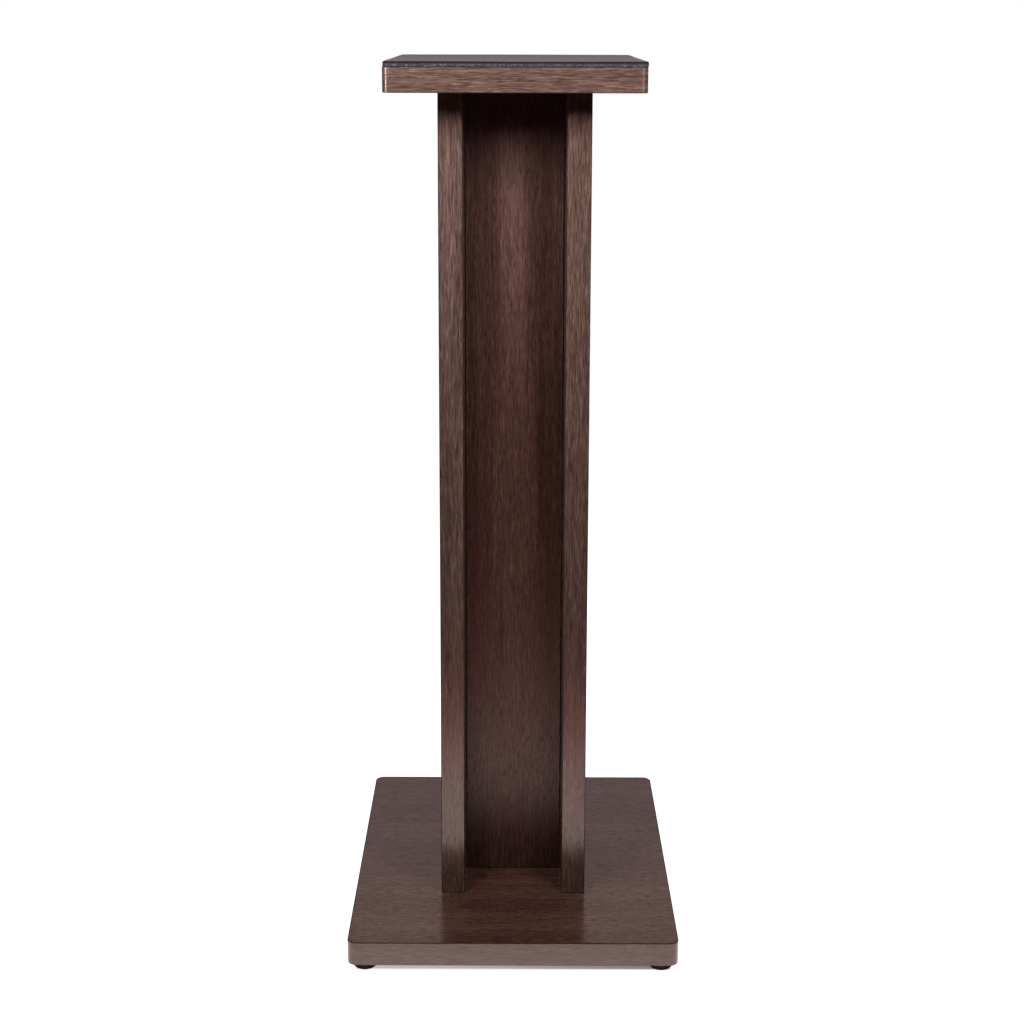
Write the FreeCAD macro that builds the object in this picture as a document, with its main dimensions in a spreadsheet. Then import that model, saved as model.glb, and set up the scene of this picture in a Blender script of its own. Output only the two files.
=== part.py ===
"""Speaker stand: a base plate on four levelling feet, a column of three boards and a top plate.

The column is an H seen from above. Two uprights carry the top plate, and a centre panel stands
between them with a narrow gap at each side. Every board is veneered on its faces, and a strip of
edge band closes each edge that shows. Countersunk screws and dowels join the boards end on.

Frame: X to the right, -Y to the front, +Z up, with the origin on the floor under the middle of
the base plate. All sizes are in millimetres.
"""
import FreeCAD, Part
import math
import os

import Sketcher
from FreeCAD import Placement, Rotation, Vector

os.makedirs("parts", exist_ok=True)
doc = FreeCAD.newDocument("speaker_stand")

# ---------------------------------------------------------------- driving dimensions

DRIVING_SIZES = [
    # base plate
    ("base_width", "340"),
    ("base_depth", "440"),
    ("base_thick", "25"),
    ("base_corner", "10"),
    # top plate and the pad on it
    ("top_width", "256"),
    ("top_depth", "330"),
    ("top_thick", "25"),
    ("top_corner", "8"),
    ("pad_thick", "5"),
    # column
    ("column_height", "855"),
    ("column_width", "154"),
    ("upright_thick", "25"),
    ("upright_depth", "150"),
    ("panel_thick", "25"),
    ("panel_gap", "0.6"),
    # places from front to back, each behind the front edge of what carries it
    ("column_setback", "116"),
    ("top_setback", "55"),
    ("panel_recess", "62.5"),
    # edge band on every edge that shows
    ("band_thick", "1"),
    ("band_bevel", "0.7"),
    # levelling feet
    ("foot_height", "7.7"),
    ("foot_gap", "0.3"),
    ("foot_width", "24"),
    ("foot_taper", "0.5"),
    ("foot_bevel", "1"),
    ("foot_inset", "17.5"),
    ("stud_width", "6"),
    ("stud_reach", "13"),
    ("stud_head_width", "12"),
    ("stud_head_thick", "2"),
    # threaded inserts
    ("insert_width", "10"),
    ("foot_insert_length", "12"),
    ("board_insert_length", "15"),
    # screws through the plates into the boards
    ("screw_width", "6"),
    ("screw_reach", "20"),
    ("screw_head_width", "12"),
    ("socket_width", "4"),
    ("socket_depth", "2.5"),
    # dowels between the plates and the boards
    ("dowel_width", "8"),
    ("dowel_in_plate", "12"),
    ("dowel_in_board", "23"),
    # spacing of screws and dowels at each end of a board
    ("upright_screw_pitch", "64"),
    ("upright_dowel_pitch", "112"),
    ("panel_screw_pitch", "32"),
    ("panel_dowel_pitch", "72"),
    # fits: all are on the radius
    ("seat_clearance", "0.05"),
    ("thread_clearance", "0.05"),
    ("screw_clearance", "0.3"),
    ("drill_room", "3"),
]

sheet = doc.addObject("Spreadsheet::Sheet", "Sizes")
for row, (alias, number) in enumerate(DRIVING_SIZES, 1):
    sheet.set(f"A{row}", alias)
    sheet.set(f"B{row}", number)
    sheet.setAlias(f"B{row}", alias)
doc.recompute()

# ---------------------------------------------------------------- places and derived sizes

BASE_UNDERSIDE = "(Sizes.foot_height + Sizes.foot_gap)"
BASE_TOP = f"({BASE_UNDERSIDE} + Sizes.base_thick)"
COLUMN_TOP = f"({BASE_TOP} + Sizes.column_height)"
TOP_PLATE_TOP = f"({COLUMN_TOP} + Sizes.top_thick)"

BASE_FRONT = "(-Sizes.base_depth / 2)"
COLUMN_FRONT = f"({BASE_FRONT} + Sizes.column_setback)"
COLUMN_MIDDLE = f"({COLUMN_FRONT} + Sizes.upright_depth / 2)"
PANEL_MIDDLE = f"({COLUMN_FRONT} + Sizes.panel_recess + Sizes.panel_thick / 2)"
TOP_MIDDLE = f"({BASE_FRONT} + Sizes.top_setback + Sizes.top_depth / 2)"
UPRIGHT_OFFSET = "((Sizes.column_width - Sizes.upright_thick) / 2)"
UPRIGHT_CORE_DEPTH = "(Sizes.upright_depth - 2 * Sizes.band_thick)"
PANEL_WIDTH = "(Sizes.column_width - 2 * Sizes.upright_thick - 2 * Sizes.panel_gap)"
PANEL_CORE_WIDTH = f"({PANEL_WIDTH} - 2 * Sizes.band_thick)"

BAND_BEVEL = "min(Sizes.band_bevel; 0.9 * Sizes.band_thick)"

INSERT_BORE = "(Sizes.screw_width + 2 * Sizes.thread_clearance)"
STUD_BORE = "(Sizes.stud_width + 2 * Sizes.thread_clearance)"
INSERT_HOLE = "(Sizes.insert_width + 2 * Sizes.seat_clearance)"
SCREW_HOLE = "(Sizes.screw_width + 2 * Sizes.screw_clearance)"
SCREW_SINK = "(Sizes.screw_head_width + 2 * Sizes.seat_clearance)"
BOARD_HOLE_DEPTH = "(max(Sizes.screw_reach; Sizes.board_insert_length) + Sizes.drill_room)"
FOOT_HOLE_DEPTH = "(max(Sizes.stud_reach; Sizes.foot_insert_length) + Sizes.drill_room)"
DOWEL_HOLE = "(Sizes.dowel_width + 2 * Sizes.seat_clearance)"

LEFT, RIGHT = -1, 1
FRONT, REAR = -1, 1
SIDE_NAMES = {LEFT: "left", RIGHT: "right"}
END_NAMES = {FRONT: "front", REAR: "rear"}
FEET = [(side, end) for end in (FRONT, REAR) for side in (LEFT, RIGHT)]
UPSIDE_DOWN = Rotation(Vector(1, 0, 0), 180)
TINY = 1e-6


def value(expression):
    """The number that an expression on the size sheet works out to."""
    result = sheet.evalExpression(str(expression))
    return float(getattr(result, "Value", result))


def place(item, x="0", y="0", z="0", rotation=Rotation()):
    """Turns an object and ties its place to three expressions."""
    item.Placement = Placement(Vector(0, 0, 0), rotation)
    for axis, expression in (("x", x), ("y", y), ("z", z)):
        item.setExpression(f"Placement.Base.{axis}", expression)
    return item


# ---------------------------------------------------------------- sketches

def new_body(name):
    body = doc.addObject("PartDesign::Body", name)
    body.Label = name
    return body


def new_sketch(body, name, role="XY_Plane", height="0"):
    """A sketch on one of the body's own origin planes, lifted along the plane's normal."""
    plane = next(item for item in body.Origin.OriginFeatures if item.Role == role)
    sketch = body.newObject("Sketcher::SketchObject", f"{body.Name}_{name}")
    sketch.AttachmentSupport = [(plane, "")]
    sketch.MapMode = "FlatFace"
    sketch.setExpression("AttachmentOffset.Base.z", height)
    return sketch


def tie(sketch, constraint, name, expression):
    """Adds a constraint and binds its value to an expression."""
    index = sketch.addConstraint(constraint)
    sketch.renameConstraint(index, name)
    sketch.setExpression(f"Constraints.{name}", expression)


def pin(sketch, shape, point, across, up):
    """Ties one point of the sketch to its two coordinates."""
    for kind, expression, zero_axis in (("DistanceX", across, -2), ("DistanceY", up, -1)):
        distance = value(expression)
        if abs(distance) < TINY:
            sketch.addConstraint(Sketcher.Constraint("PointOnObject", shape, point, zero_axis))
        else:
            constraint = Sketcher.Constraint(kind, -1, 1, shape, point, distance)
            tie(sketch, constraint, f"{kind}_{shape}_{point}", expression)


def draw_polygon(sketch, corners):
    """A closed outline of straight lines through corners given as pairs of expressions."""
    points = [Vector(value(x), value(y), 0) for x, y in corners]
    lines = []
    for start, end in zip(points, points[1:] + points[:1]):
        lines.append(sketch.addGeometry(Part.LineSegment(start, end), False))
    for line, following in zip(lines, lines[1:] + lines[:1]):
        sketch.addConstraint(Sketcher.Constraint("Coincident", line, 2, following, 1))
    for line, (x, y) in zip(lines, corners):
        pin(sketch, line, 1, x, y)


def draw_rectangle(sketch, width, depth):
    """A rectangle about the sketch's origin."""
    quarters = [(-1, -1), (1, -1), (1, 1), (-1, 1)]
    draw_polygon(sketch, [(f"{i} * {width} / 2", f"{j} * {depth} / 2") for i, j in quarters])


def draw_circle(sketch, x, y, width):
    centre = Vector(value(x), value(y), 0)
    circle = sketch.addGeometry(Part.Circle(centre, Vector(0, 0, 1), value(width) / 2), False)
    pin(sketch, circle, 3, x, y)
    constraint = Sketcher.Constraint("Diameter", circle, value(width))
    tie(sketch, constraint, f"Diameter_{circle}", width)


def draw_rounded_rectangle(sketch, width, depth, radius):
    """A rectangle about the sketch's origin with an arc at each corner."""
    quarters = [(1, 1), (-1, 1), (-1, -1), (1, -1)]
    arcs = []
    for number, (i, j) in enumerate(quarters):
        x = f"{i} * ({width} / 2 - {radius})"
        y = f"{j} * ({depth} / 2 - {radius})"
        circle = Part.Circle(Vector(value(x), value(y), 0), Vector(0, 0, 1), value(radius))
        start = number * math.pi / 2
        arc = sketch.addGeometry(Part.ArcOfCircle(circle, start, start + math.pi / 2), False)
        pin(sketch, arc, 3, x, y)
        constraint = Sketcher.Constraint("Radius", arc, value(radius))
        tie(sketch, constraint, f"Radius_{arc}", radius)
        arcs.append(arc)
    for arc, following in zip(arcs, arcs[1:] + arcs[:1]):
        start = sketch.Geometry[arc].EndPoint
        end = sketch.Geometry[following].StartPoint
        line = sketch.addGeometry(Part.LineSegment(start, end), False)
        sketch.addConstraint(Sketcher.Constraint("Tangent", arc, 2, line, 1))
        sketch.addConstraint(Sketcher.Constraint("Tangent", line, 2, following, 1))


# ---------------------------------------------------------------- features

def pad_sketch(body, sketch, length):
    feature = body.newObject("PartDesign::Pad", f"{sketch.Name}_pad")
    feature.Profile = sketch
    feature.setExpression("Length", length)
    doc.recompute()
    return feature


def revolve_sketch(body, sketch):
    """Turns a profile on the XZ plane about the body's Z axis."""
    feature = body.newObject("PartDesign::Revolution", f"{sketch.Name}_turned")
    feature.Profile = sketch
    feature.ReferenceAxis = (sketch, ["V_Axis"])
    feature.Angle = 360
    doc.recompute()
    return feature


def drill(body, name, spots, width, depth, height="0", upward=True, countersink=None):
    """Drills flat-ended holes of one kind into the end of a body.

    spots are the centres, height is the level that the drill enters at, and depth is None for
    holes right through. countersink is the width that a hole's mouth opens to.
    """
    sketch = new_sketch(body, name, height=height)
    for x, y in spots:
        draw_circle(sketch, x, y, width)
    doc.recompute()
    solid_before = body.Shape.Volume
    hole = body.newObject("PartDesign::Hole", f"{sketch.Name}_drilled")
    hole.Profile = sketch
    doc.recompute()
    hole.Threaded = False
    hole.DrillPoint = "Flat"
    hole.Reversed = upward
    hole.setExpression("Diameter", width)
    if depth is None:
        hole.DepthType = "ThroughAll"
    else:
        hole.DepthType = "Dimension"
        hole.setExpression("Depth", depth)
    if countersink:
        hole.HoleCutType = "Countersink"
        hole.HoleCutCustomValues = True
        hole.HoleCutCountersinkAngle = 90
        hole.setExpression("HoleCutDiameter", countersink)
    doc.recompute()
    if body.Shape.Volume >= solid_before - TINY:
        raise RuntimeError(f"{sketch.Name} cuts nothing")


def bevel_edges(body, wanted, size):
    """Bevels the edges of the body's last feature that pass a test."""
    base = body.Tip
    edges = [f"Edge{n}" for n, edge in enumerate(base.Shape.Edges, 1) if wanted(edge)]
    feature = body.newObject("PartDesign::Chamfer", f"{body.Name}_trimmed")
    feature.Base = (base, edges)
    feature.setExpression("Size", size)
    doc.recompute()


# ---------------------------------------------------------------- where screws and dowels go

def in_line(pitch, shift_x="0", shift_y="0", along="y"):
    """Two centres a pitch apart, either side of a shifted middle."""
    spots = []
    for sign in (-1, 1):
        step = f"{sign} * {pitch} / 2"
        if along == "y":
            spots.append((shift_x, f"{shift_y} + {step}"))
        else:
            spots.append((f"{shift_x} + {step}", shift_y))
    return spots


def column_spots(fixing, middle):
    """Centres of all screws or all dowels at one end of the column, from a plate's middle."""
    spots = []
    for side in (LEFT, RIGHT):
        x = f"{side} * {UPRIGHT_OFFSET}"
        y = f"({COLUMN_MIDDLE} - {middle})"
        spots += in_line(f"Sizes.upright_{fixing}_pitch", x, y)
    panel_y = f"({PANEL_MIDDLE} - {middle})"
    spots += in_line(f"Sizes.panel_{fixing}_pitch", "0", panel_y, along="x")
    return spots


# ---------------------------------------------------------------- plates, band and pad

def plate_core(name, width, depth, thick, corner, middle, screws_upward):
    """A plate inside its edge band, with countersunk screw holes and blind dowel holes."""
    body = new_body(name)
    outline = new_sketch(body, "outline")
    core_corner = f"({corner} - Sizes.band_thick)"
    core_width = f"({width} - 2 * Sizes.band_thick)"
    core_depth = f"({depth} - 2 * Sizes.band_thick)"
    draw_rounded_rectangle(outline, core_width, core_depth, core_corner)
    pad_sketch(body, outline, thick)
    outer, inner = ("0", thick) if screws_upward else (thick, "0")
    drill(body, "screw_holes", column_spots("screw", middle), SCREW_HOLE, None,
          height=outer, upward=screws_upward, countersink=SCREW_SINK)
    dowel_depth = "(Sizes.dowel_in_plate + Sizes.seat_clearance)"
    drill(body, "dowel_holes", column_spots("dowel", middle), DOWEL_HOLE, dowel_depth,
          height=inner, upward=not screws_upward)
    return body


def plate_band(name, width, depth, thick, corner):
    """The strip of edge band that runs once round a plate."""
    body = new_body(name)
    outline = new_sketch(body, "outline")
    draw_rounded_rectangle(outline, width, depth, corner)
    inner_width = f"({width} - 2 * Sizes.band_thick)"
    inner_depth = f"({depth} - 2 * Sizes.band_thick)"
    inner_corner = f"({corner} - Sizes.band_thick)"
    draw_rounded_rectangle(outline, inner_width, inner_depth, inner_corner)
    ring = pad_sketch(body, outline, thick)
    ends = [face for face in ring.Shape.Faces if abs(face.normalAt(0, 0).z) > 1 - TINY]
    rims = [edge for face in ends for edge in face.OuterWire.Edges]
    bevel_edges(body, lambda edge: any(edge.isSame(rim) for rim in rims), BAND_BEVEL)
    return body


def foot_spots():
    x = "(Sizes.base_width / 2 - Sizes.foot_inset)"
    y = "(Sizes.base_depth / 2 - Sizes.foot_inset)"
    return [(f"{side} * {x}", f"{end} * {y}") for side, end in FEET]


def make_base():
    sizes = ("Sizes.base_width", "Sizes.base_depth", "Sizes.base_thick", "Sizes.base_corner")
    plate = plate_core("base_plate", *sizes, middle="0", screws_upward=True)
    drill(plate, "foot_holes", foot_spots(), INSERT_HOLE, FOOT_HOLE_DEPTH)
    band = plate_band("base_edge_band", *sizes)
    return [place(item, z=BASE_UNDERSIDE) for item in (plate, band)]


def make_top():
    sizes = ("Sizes.top_width", "Sizes.top_depth", "Sizes.top_thick", "Sizes.top_corner")
    plate = plate_core("top_plate", *sizes, middle=TOP_MIDDLE, screws_upward=False)
    band = plate_band("top_edge_band", *sizes)
    return [place(item, y=TOP_MIDDLE, z=COLUMN_TOP) for item in (plate, band)]


def make_pad():
    """The foam pad stuck on the top plate, flush with its outline."""
    body = new_body("anti_slip_pad")
    outline = new_sketch(body, "outline")
    draw_rounded_rectangle(outline, "Sizes.top_width", "Sizes.top_depth", "Sizes.top_corner")
    pad_sketch(body, outline, "Sizes.pad_thick")
    return [place(body, y=TOP_MIDDLE, z=TOP_PLATE_TOP)]


# ---------------------------------------------------------------- column boards

def board_core(name, width, depth, screw_spots, dowel_spots):
    """An upright board with inserts' holes and dowel holes in both of its ends."""
    body = new_body(name)
    outline = new_sketch(body, "outline")
    draw_rectangle(outline, width, depth)
    pad_sketch(body, outline, "Sizes.column_height")
    dowel_depth = "(Sizes.dowel_in_board + Sizes.seat_clearance)"
    for end, height, upward in (("lower", "0", True), ("upper", "Sizes.column_height", False)):
        drill(body, f"{end}_insert_holes", screw_spots, INSERT_HOLE, BOARD_HOLE_DEPTH,
              height=height, upward=upward)
        drill(body, f"{end}_dowel_holes", dowel_spots, DOWEL_HOLE, dowel_depth,
              height=height, upward=upward)
    return body


def edge_strip(name, width, rotation):
    """A straight strip of edge band: glued at its local y = 0, bevelled on its far side."""
    body = new_body(name)
    outline = new_sketch(body, "outline")
    corners = [(-1, "0"), (1, "0"), (1, "Sizes.band_thick"), (-1, "Sizes.band_thick")]
    draw_polygon(outline, [(f"{side} * {width} / 2", y) for side, y in corners])
    strip = pad_sketch(body, outline, "Sizes.column_height")
    outer_face = strip.Shape.BoundBox.YMax

    def is_outer_arris(edge):
        box = edge.BoundBox
        return box.ZLength > box.XLength + box.YLength and box.YMin > outer_face - TINY

    bevel_edges(body, is_outer_arris, BAND_BEVEL)
    body.Placement = Placement(Vector(0, 0, 0), rotation)
    return body


def make_upright(side):
    name = f"{SIDE_NAMES[side]}_upright"
    x = f"{side} * {UPRIGHT_OFFSET}"
    core = board_core(name, "Sizes.upright_thick", UPRIGHT_CORE_DEPTH,
                      in_line("Sizes.upright_screw_pitch"), in_line("Sizes.upright_dowel_pitch"))
    pieces = [place(core, x=x, y=COLUMN_MIDDLE, z=BASE_TOP)]
    for end, turn in ((FRONT, 180), (REAR, 0)):
        rotation = Rotation(Vector(0, 0, 1), turn)
        strip = edge_strip(f"{name}_{END_NAMES[end]}_band", "Sizes.upright_thick", rotation)
        y = f"{COLUMN_MIDDLE} + {end} * {UPRIGHT_CORE_DEPTH} / 2"
        pieces.append(place(strip, x=x, y=y, z=BASE_TOP, rotation=rotation))
    return pieces


def make_panel():
    core = board_core("centre_panel", PANEL_CORE_WIDTH, "Sizes.panel_thick",
                      in_line("Sizes.panel_screw_pitch", along="x"),
                      in_line("Sizes.panel_dowel_pitch", along="x"))
    pieces = [place(core, y=PANEL_MIDDLE, z=BASE_TOP)]
    for side in (LEFT, RIGHT):
        rotation = Rotation(Vector(0, 0, 1), -90 * side)
        name = f"centre_panel_{SIDE_NAMES[side]}_band"
        strip = edge_strip(name, "Sizes.panel_thick", rotation)
        x = f"{side} * {PANEL_CORE_WIDTH} / 2"
        pieces.append(place(strip, x=x, y=PANEL_MIDDLE, z=BASE_TOP, rotation=rotation))
    return pieces


# ---------------------------------------------------------------- screws, dowels and inserts

def copies(name, original, spots):
    """One object that holds a copy of the original at each spot: (x, y, z, rotation)."""
    links = []
    for number, (x, y, z, rotation) in enumerate(spots, 1):
        link = doc.addObject("App::Link", f"{name}_copy_{number}")
        link.LinkedObject = original
        links.append(place(link, x=x, y=y, z=z, rotation=rotation))
    group = doc.addObject("Part::Compound", name)
    group.Label = name
    group.Links = links
    doc.recompute()
    return group


def turned_body(name, profile):
    """A round piece from its half profile: pairs of radius and height."""
    body = new_body(name)
    sketch = new_sketch(body, "profile", role="XZ_Plane")
    draw_polygon(sketch, profile)
    revolve_sketch(body, sketch)
    return body


def screw_pattern(name, plate_thick):
    """A countersunk screw with a hexagon socket: head face at z = 0, tip upward."""
    length = f"({plate_thick} + Sizes.screw_reach)"
    head_cone = "(Sizes.screw_head_width - Sizes.screw_width) / 2"
    body = turned_body(name, [
        ("0", "0"),
        ("Sizes.screw_head_width / 2", "0"),
        ("Sizes.screw_width / 2", head_cone),
        ("Sizes.screw_width / 2", length),
        ("0", length),
    ])
    socket = new_sketch(body, "socket")
    corner_radius = "Sizes.socket_width / sqrt(3)"
    angles = [60 * number for number in range(6)]
    draw_polygon(socket, [(f"{corner_radius} * cos({a})", f"{corner_radius} * sin({a})")
                          for a in angles])
    solid_before = body.Shape.Volume
    pocket = body.newObject("PartDesign::Pocket", f"{name}_socket_cut")
    pocket.Profile = socket
    pocket.Reversed = True
    pocket.setExpression("Length", "Sizes.socket_depth")
    doc.recompute()
    if body.Shape.Volume >= solid_before:
        raise RuntimeError(f"{name} has no socket")
    return body


def dowel_pattern():
    """A round dowel, its lower end in the plate and its upper end in the board."""
    length = "(Sizes.dowel_in_plate + Sizes.dowel_in_board)"
    radius = "Sizes.dowel_width / 2"
    return turned_body("dowel_pattern", [
        ("0", "0"),
        (radius, "0"),
        (radius, length),
        ("0", length),
    ])


def insert_pattern(name, bore, length):
    """A threaded insert, drawn as the sleeve that its thread stands in."""
    body = new_body(name)
    outline = new_sketch(body, "outline")
    draw_circle(outline, "0", "0", "Sizes.insert_width")
    draw_circle(outline, "0", "0", bore)
    pad_sketch(body, outline, length)
    return body


def make_screws():
    groups = []
    for name, plate_thick, z, rotation in (
            ("base_screws", "Sizes.base_thick", BASE_UNDERSIDE, Rotation()),
            ("top_screws", "Sizes.top_thick", TOP_PLATE_TOP, UPSIDE_DOWN)):
        pattern = screw_pattern(f"{name}_pattern", plate_thick)
        spots = [(x, y, z, rotation) for x, y in column_spots("screw", "0")]
        groups.append(copies(name, pattern, spots))
    return groups


def make_dowels():
    pattern = dowel_pattern()
    groups = []
    for name, z, rotation in (
            ("base_dowels", f"{BASE_TOP} - Sizes.dowel_in_plate", Rotation()),
            ("top_dowels", f"{COLUMN_TOP} + Sizes.dowel_in_plate", UPSIDE_DOWN)):
        spots = [(x, y, z, rotation) for x, y in column_spots("dowel", "0")]
        groups.append(copies(name, pattern, spots))
    return groups


def make_board_inserts():
    pattern = insert_pattern("board_insert_pattern", INSERT_BORE, "Sizes.board_insert_length")
    screws = column_spots("screw", "0")
    boards = {
        "left_upright_inserts": screws[0:2],
        "right_upright_inserts": screws[2:4],
        "centre_panel_inserts": screws[4:6],
    }
    groups = []
    for name, centres in boards.items():
        spots = [(x, y, BASE_TOP, Rotation()) for x, y in centres]
        spots += [(x, y, COLUMN_TOP, UPSIDE_DOWN) for x, y in centres]
        groups.append(copies(name, pattern, spots))
    return groups


def make_foot_inserts():
    pattern = insert_pattern("foot_insert_pattern", STUD_BORE, "Sizes.foot_insert_length")
    spots = [(x, y, BASE_UNDERSIDE, Rotation()) for x, y in foot_spots()]
    return [copies("foot_inserts", pattern, spots)]


# ---------------------------------------------------------------- levelling feet

def make_foot(name, x, y):
    """A rubber foot that tapers to its tread, with a pocket on top for its stud's head."""
    top_radius = "Sizes.foot_width / 2"
    side_slope = "Sizes.foot_taper / Sizes.foot_height"
    tread_radius = f"({top_radius} - Sizes.foot_taper)"
    pocket_radius = "(Sizes.stud_head_width / 2 + Sizes.seat_clearance)"
    pocket_floor = "(Sizes.foot_height - Sizes.stud_head_thick)"
    foot = turned_body(name, [
        ("0", "0"),
        (f"{tread_radius} - Sizes.foot_bevel", "0"),
        (f"{tread_radius} + Sizes.foot_bevel * {side_slope}", "Sizes.foot_bevel"),
        (top_radius, "Sizes.foot_height"),
        (pocket_radius, "Sizes.foot_height"),
        (pocket_radius, pocket_floor),
        ("0", pocket_floor),
    ])
    return place(foot, x=x, y=y)


def make_stud(name, x, y):
    """The steel stud of a foot: a flat head in the rubber and a shank for the insert."""
    head_floor = "(Sizes.foot_height - Sizes.stud_head_thick)"
    shank_top = "(Sizes.foot_height + Sizes.stud_reach)"
    stud = turned_body(name, [
        ("0", head_floor),
        ("Sizes.stud_head_width / 2", head_floor),
        ("Sizes.stud_head_width / 2", "Sizes.foot_height"),
        ("Sizes.stud_width / 2", "Sizes.foot_height"),
        ("Sizes.stud_width / 2", shank_top),
        ("0", shank_top),
    ])
    return place(stud, x=x, y=y)


def make_feet():
    pieces = []
    for (side, end), (x, y) in zip(FEET, foot_spots()):
        name = f"{END_NAMES[end]}_{SIDE_NAMES[side]}_foot"
        pieces.append(make_foot(name, x, y))
        pieces.append(make_stud(f"{name}_stud", x, y))
    return pieces


# ---------------------------------------------------------------- build, check and write

nodes = make_base() + make_top() + make_pad()
for upright_side in (LEFT, RIGHT):
    nodes += make_upright(upright_side)
nodes += make_panel()
nodes += make_screws() + make_dowels() + make_board_inserts() + make_foot_inserts()
nodes += make_feet()
doc.recompute()

for item in doc.Objects:
    if "Invalid" in item.State or "Error" in item.State:
        raise RuntimeError(f"{item.Label} is {item.State}")
for node in nodes:
    if node.Shape.isNull() or not node.Shape.isValid() or not node.Shape.Solids:
        raise RuntimeError(f"{node.Label} has no valid solid")

for node in nodes:
    node.Shape.exportStep(f"parts/{node.Label}.step")
    solids = len(node.Shape.Solids)
    print(f"{node.Label}: {solids} solid(s), {node.Shape.Volume / 1000:.1f} cm3")
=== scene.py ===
"""Looks of the speaker stand: walnut laminate, edge bands, foam pad, threaded studs and studio.

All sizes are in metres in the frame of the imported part: +X to the right, -Y to the front, +Z up,
origin on the floor under the middle of the base plate.
"""

import math

import bmesh
import bpy
from mathutils import Matrix, Vector, noise


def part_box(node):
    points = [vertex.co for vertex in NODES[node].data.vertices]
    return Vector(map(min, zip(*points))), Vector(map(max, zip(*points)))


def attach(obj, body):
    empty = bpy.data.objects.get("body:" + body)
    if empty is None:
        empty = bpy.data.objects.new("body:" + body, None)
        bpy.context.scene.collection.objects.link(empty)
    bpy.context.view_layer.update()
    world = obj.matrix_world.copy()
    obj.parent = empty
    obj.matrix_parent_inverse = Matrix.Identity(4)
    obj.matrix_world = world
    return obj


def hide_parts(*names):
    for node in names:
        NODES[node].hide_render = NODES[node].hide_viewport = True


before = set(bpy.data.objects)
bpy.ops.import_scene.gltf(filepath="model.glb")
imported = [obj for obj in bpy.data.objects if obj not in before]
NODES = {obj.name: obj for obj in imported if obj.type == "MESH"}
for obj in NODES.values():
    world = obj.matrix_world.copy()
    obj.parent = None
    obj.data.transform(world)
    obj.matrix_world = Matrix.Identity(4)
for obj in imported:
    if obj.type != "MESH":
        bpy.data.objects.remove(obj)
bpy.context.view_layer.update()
FEET = [f"{end}_{side}_foot" for end in ("front", "rear") for side in ("left", "right")]
MM = 0.001
# edges that turn by more than this many degrees stay sharp
SHARP_ANGLE = 50


# ---------------------------------------------------------------- shader graphs

class Graph:
    """Writes a node tree: any input may be a number, a colour or another node's output."""

    def __init__(self, tree):
        self.tree = tree
        tree.nodes.clear()

    def node(self, kind, values=None, **settings):
        item = self.tree.nodes.new(kind)
        for key, setting in settings.items():
            setattr(item, key, setting)
        for key, given in (values or {}).items():
            if isinstance(given, bpy.types.NodeSocket):
                self.tree.links.new(given, item.inputs[key])
            else:
                item.inputs[key].default_value = given
        return item

    def place(self):
        """Where a point lies, in the frame of the part."""
        return self.node("ShaderNodeTexCoord").outputs["Object"]

    def face_normal(self):
        return self.node("ShaderNodeNewGeometry").outputs["True Normal"]

    def math(self, operation, *values, clamp=False):
        item = self.node("ShaderNodeMath", dict(enumerate(values)), operation=operation)
        item.use_clamp = clamp
        return item.outputs[0]

    def total(self, *values):
        result = values[0]
        for following in values[1:]:
            result = self.math("ADD", result, following)
        return result

    def vector(self, operation, *values):
        item = self.node("ShaderNodeVectorMath", dict(enumerate(values)), operation=operation)
        return item.outputs[0]

    def split(self, vector):
        return self.node("ShaderNodeSeparateXYZ", {0: vector}).outputs[:]

    def join(self, x, y, z):
        return self.node("ShaderNodeCombineXYZ", {0: x, 1: y, 2: z}).outputs[0]

    def noise(self, vector, detail=2.0):
        values = {"Vector": vector, "Scale": 1.0, "Detail": detail}
        return self.node("ShaderNodeTexNoise", values).outputs[0]

    def ease(self, value, start, end, low=0.0, high=1.0):
        """low up to start, high from end on, and a smooth step between them."""
        values = {"Value": value, "From Min": start, "From Max": end, "To Min": low, "To Max": high}
        item = self.node("ShaderNodeMapRange", values, interpolation_type="SMOOTHSTEP")
        return item.outputs[0]

    def ramp(self, factor, stops):
        item = self.node("ShaderNodeValToRGB", {0: factor})
        elements = item.color_ramp.elements
        while len(elements) < len(stops):
            elements.new(1.0)
        for element, (place, colour) in zip(elements, stops):
            element.position = place
            element.color = (*colour, 1.0)
        return item.outputs[0]

    def mix(self, factor, first, second, blend="MIX"):
        """A mix of two colours, which lie on the node's inputs 6 and 7 and its output 2."""
        first, second = ((*given, 1.0) if isinstance(given, tuple) else given
                         for given in (first, second))
        item = self.node("ShaderNodeMix", {0: factor, 6: first, 7: second},
                         data_type="RGBA", blend_type=blend)
        return item.outputs[2]

    def bump(self, height, depth, strength):
        values = {"Height": height, "Distance": depth, "Strength": strength}
        return self.node("ShaderNodeBump", values).outputs[0]

    def diffuse(self, level):
        values = {"Color": (level, level, level, 1.0)}
        return self.node("ShaderNodeBsdfDiffuse", values).outputs[0]

    def emission(self, **values):
        return self.node("ShaderNodeEmission", values).outputs[0]

    def add_shaders(self, first, second):
        return self.node("ShaderNodeAddShader", {0: first, 1: second}).outputs[0]

    def mix_shaders(self, factor, first, second):
        return self.node("ShaderNodeMixShader", {0: factor, 1: first, 2: second}).outputs[0]

    def finish(self, **values):
        """The principled shader and the output. Plain values stay on the shader's sockets."""
        named = {key.replace("_", " "): given for key, given in values.items()}
        shader = self.node("ShaderNodeBsdfPrincipled", named)
        self.node("ShaderNodeOutputMaterial", {"Surface": shader.outputs[0]})


def new_material(name):
    material = bpy.data.materials.new(name)
    material.use_nodes = True
    return material, Graph(material.node_tree)


def dress(thing, material):
    thing.data.materials.clear()
    thing.data.materials.append(material)


# ---------------------------------------------------------------- new pieces

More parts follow.
